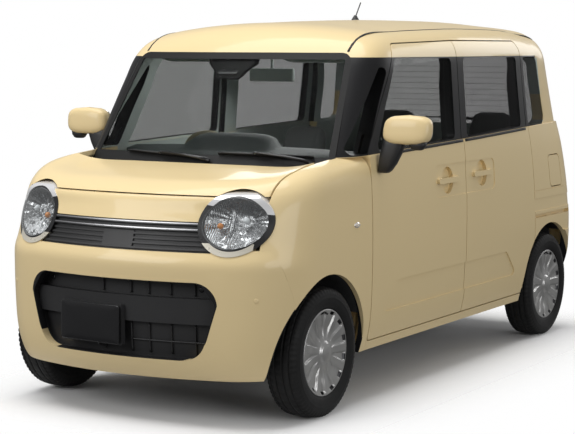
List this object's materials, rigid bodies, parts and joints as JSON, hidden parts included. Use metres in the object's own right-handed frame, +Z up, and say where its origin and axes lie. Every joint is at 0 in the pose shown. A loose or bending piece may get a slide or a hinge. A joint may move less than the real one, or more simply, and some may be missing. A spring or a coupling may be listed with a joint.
{
  "type": "kei car",
  "caption": "Tall, boxy kei car with hinged front doors, sliding rear doors, top-hinged tailgate, round oval headlamps and steered front wheels.",
  "frame": {"origin": "on the ground, midway between the ends and the sides of the car", "axes": "+Z up, -Y towards the nose, +X towards the left side of the car"},
  "size_m": [1.952, 3.3945, 1.7844],
  "materials": {
    "paint": "gloss",
    "glass": "clear",
    "black_trim": "grained",
    "gloss_black": "gloss",
    "chrome": "polished",
    "lens": "clear",
    "red_lens": "gloss",
    "tyre": "matte",
    "silver": "satin",
    "underbody": "matte",
    "seat_fabric": "woven",
    "interior": "grained",
    "rubber": "matte",
    "metal": "rough",
    "aluminium": "satin"
  },
  "bodies": {
    "body": {"antenna": "gloss_black", "cabin_mirror": "gloss_black", "cowl": "black_trim", "dashboard": "interior", "door_seals": "rubber", "engine_block": "metal", "exhaust": "aluminium", "floor_pan": "underbody", "front_bumper": "paint", "front_fenders": "paint", "front_seat_backs": "seat_fabric", "front_seat_cushions": "seat_fabric", "front_structure": "underbody", "front_subframe": "underbody", "fuel_tank": "aluminium", "grille_bars": "chrome", "head_rests": "seat_fabric", "headlamp_bezels": "chrome", "headlamp_lenses": "lens", "lower_grille": "black_trim", "nose_panel": "paint", "quarter_glass": "glass", "radiator": "aluminium", "rear_axle": "underbody", "rear_bumper": "paint", "rear_seat_back": "seat_fabric", "rear_seat_cushion": "seat_fabric", "roof": "paint", "seat_frames": "interior", "side_frame_left": "paint", "side_frame_right": "paint", "sliding_door_glass": "glass", "sliding_door_left": "paint", "sliding_door_right": "paint", "steering_column": "interior", "tail_lamps": "red_lens", "upper_grille": "black_trim", "windscreen": "glass"},
    "front_door_left": {"front_door_left": "paint", "front_door_glass_left": "glass", "door_mirror_left": "paint"},
    "front_door_right": {"front_door_right": "paint", "front_door_glass_right": "glass", "door_mirror_right": "paint"},
    "tailgate": {"tailgate": "paint", "tailgate_glass": "glass"},
    "bonnet": {"bonnet": "paint"},
    "fuel_flap": {"fuel_flap": "paint"},
    "steering_wheel": {"steering_wheel": "interior"},
    "knuckle_left": {"knuckle_left": "metal"},
    "knuckle_right": {"knuckle_right": "metal"},
    "wheel_front_left": {"tyre_front_left": "tyre", "rim_front_left": "silver"},
    "wheel_front_right": {"tyre_front_right": "tyre", "rim_front_right": "silver"},
    "wheel_rear_left": {"tyre_rear_left": "tyre", "rim_rear_left": "silver"},
    "wheel_rear_right": {"tyre_rear_right": "tyre", "rim_rear_right": "silver"}
  },
  "joints": [
    {"name": "front_door_left_hinge", "type": "hinge", "parent": "body", "child": "front_door_left", "pos_m": [0.7345, -0.753, 0.6], "axis": [0, 0, -1], "range_deg": [0, 65]},
    {"name": "front_door_right_hinge", "type": "hinge", "parent": "body", "child": "front_door_right", "pos_m": [-0.7345, -0.753, 0.6], "axis": [0, 0, 1], "range_deg": [0, 65]},
    {"name": "tailgate_hinge", "type": "hinge", "parent": "body", "child": "tailgate", "pos_m": [0, 1.537, 1.636], "axis": [1, 0, 0], "range_deg": [0, 85]},
    {"name": "bonnet_hinge", "type": "hinge", "parent": "body", "child": "bonnet", "pos_m": [0, -1.06, 1.062], "axis": [-1, 0, 0], "range_deg": [0, 50]},
    {"name": "fuel_flap_hinge", "type": "hinge", "parent": "body", "child": "fuel_flap", "pos_m": [0.7255, 1.3185, 0.892], "axis": [0, 0, -1], "range_deg": [0, 90]},
    {"name": "steer_left", "type": "hinge", "parent": "body", "child": "knuckle_left", "pos_m": [0.624, -1.1595, 0.16], "axis": [-0.1514, 0, 0.9885], "range_deg": [-35, 35]},
    {"name": "steer_right", "type": "hinge", "parent": "body", "child": "knuckle_right", "pos_m": [-0.624, -1.1595, 0.16], "axis": [0.1514, 0, 0.9885], "range_deg": [-35, 35]},
    {"name": "steering_wheel_turn", "type": "hinge", "parent": "body", "child": "steering_wheel", "pos_m": [-0.32, -0.3845, 0.985], "axis": [0, 0.8829, 0.4695], "range_deg": [-540, 540]},
    {"name": "spin_front_left", "type": "hinge", "parent": "knuckle_left", "child": "wheel_front_left", "pos_m": [0.6475, -1.1595, 0.2785], "axis": [1, 0, 0], "continuous": true},
    {"name": "spin_front_right", "type": "hinge", "parent": "knuckle_right", "child": "wheel_front_right", "pos_m": [-0.6475, -1.1595, 0.2785], "axis": [1, 0, 0], "continuous": true},
    {"name": "spin_rear_left", "type": "hinge", "parent": "body", "child": "wheel_rear_left", "pos_m": [0.65, 1.3005, 0.2785], "axis": [1, 0, 0], "continuous": true},
    {"name": "spin_rear_right", "type": "hinge", "parent": "body", "child": "wheel_rear_right", "pos_m": [-0.65, 1.3005, 0.2785], "axis": [1, 0, 0], "continuous": true}
  ],
  "couplings": [
    {"joint": "steer_right", "follows": "steer_left", "ratio": 1},
    {"joint": "steering_wheel_turn", "follows": "steer_left", "ratio": 15.4}
  ]
}
